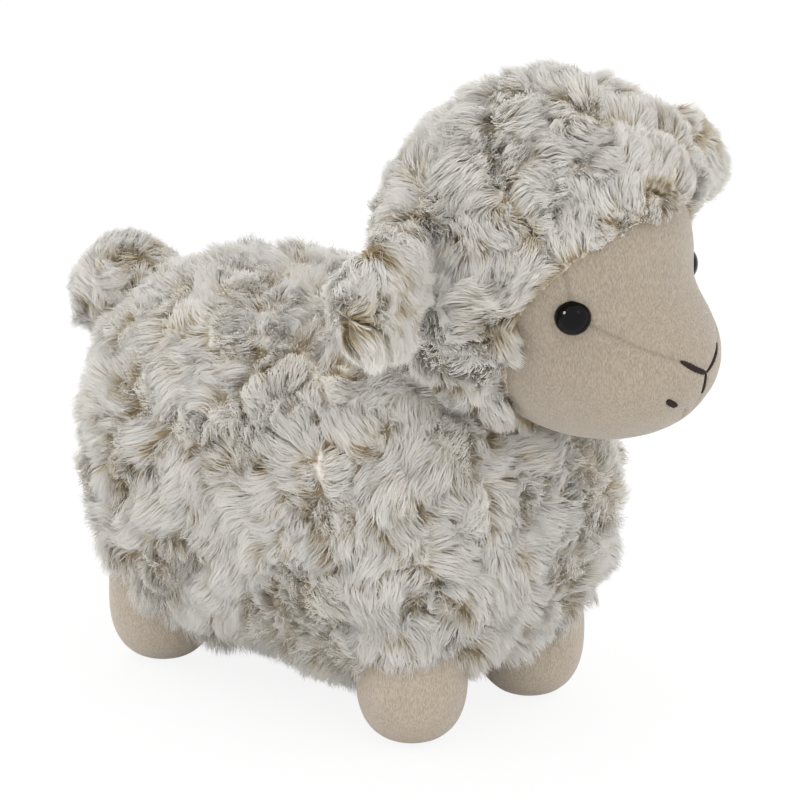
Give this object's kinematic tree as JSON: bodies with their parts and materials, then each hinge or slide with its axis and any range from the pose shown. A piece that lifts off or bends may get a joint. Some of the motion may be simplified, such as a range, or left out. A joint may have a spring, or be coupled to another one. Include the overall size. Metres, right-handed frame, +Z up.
{
  "type": "plush sheep",
  "caption": "Standing stuffed sheep with swirled long fur, a bare short-plush face with glossy bead eyes and stitched nose, floppy ears, stub legs and a short tail.",
  "frame": {"origin": "on the ground under the middle of the sheep's bounding box", "axes": "+Z up, -Y the way the sheep faces, +X the sheep's left"},
  "size_m": [0.1763, 0.2367, 0.1956],
  "materials": {
    "fur": "long swirled fur, brown at its roots and cream at its tips",
    "short_plush": "short beige plush",
    "eye_plastic": "polished black",
    "washer_plastic": "moulded",
    "thread": "dark brown embroidery thread",
    "stuffing": "loose fibre"
  },
  "bodies": {
    "body": {"body_cover": "fur", "head_cover": "fur", "face_gusset": "short_plush", "face_cheek_right": "short_plush", "face_cheek_left": "short_plush", "leg_front_right": "short_plush", "leg_front_left": "short_plush", "leg_rear_right": "short_plush", "leg_rear_left": "short_plush", "eye_right": "eye_plastic", "eye_left": "eye_plastic", "eye_washer_right": "washer_plastic", "eye_washer_left": "washer_plastic", "nose_stitch": "thread", "philtrum_stitch": "thread", "mouth_stitch": "thread", "body_stuffing": "stuffing", "head_stuffing": "stuffing", "leg_filling_front_right": "stuffing", "leg_filling_front_left": "stuffing", "leg_filling_rear_right": "stuffing", "leg_filling_rear_left": "stuffing"},
    "ear_right": {"ear_right": "fur"},
    "ear_left": {"ear_left": "fur"},
    "tail": {"tail": "fur"}
  },
  "joints": [
    {"name": "ear_right_bend", "type": "hinge", "parent": "body", "child": "ear_right", "pos_m": [-0.04927, -0.05842, 0.15652], "axis": [-0.2908, -0.2692, -0.9181], "range_deg": [-30, 40], "stiffness_Nm_per_rad": 0.01},
    {"name": "ear_left_bend", "type": "hinge", "parent": "body", "child": "ear_left", "pos_m": [0.04599, -0.0521, 0.1632], "axis": [-0.4483, 0.2201, 0.8663], "range_deg": [-30, 40], "stiffness_Nm_per_rad": 0.01},
    {"name": "tail_bend", "type": "hinge", "parent": "body", "child": "tail", "pos_m": [0, 0.08843, 0.09414], "axis": [-1, 0, 0], "range_deg": [-35, 25], "stiffness_Nm_per_rad": 0.01}
  ]
}
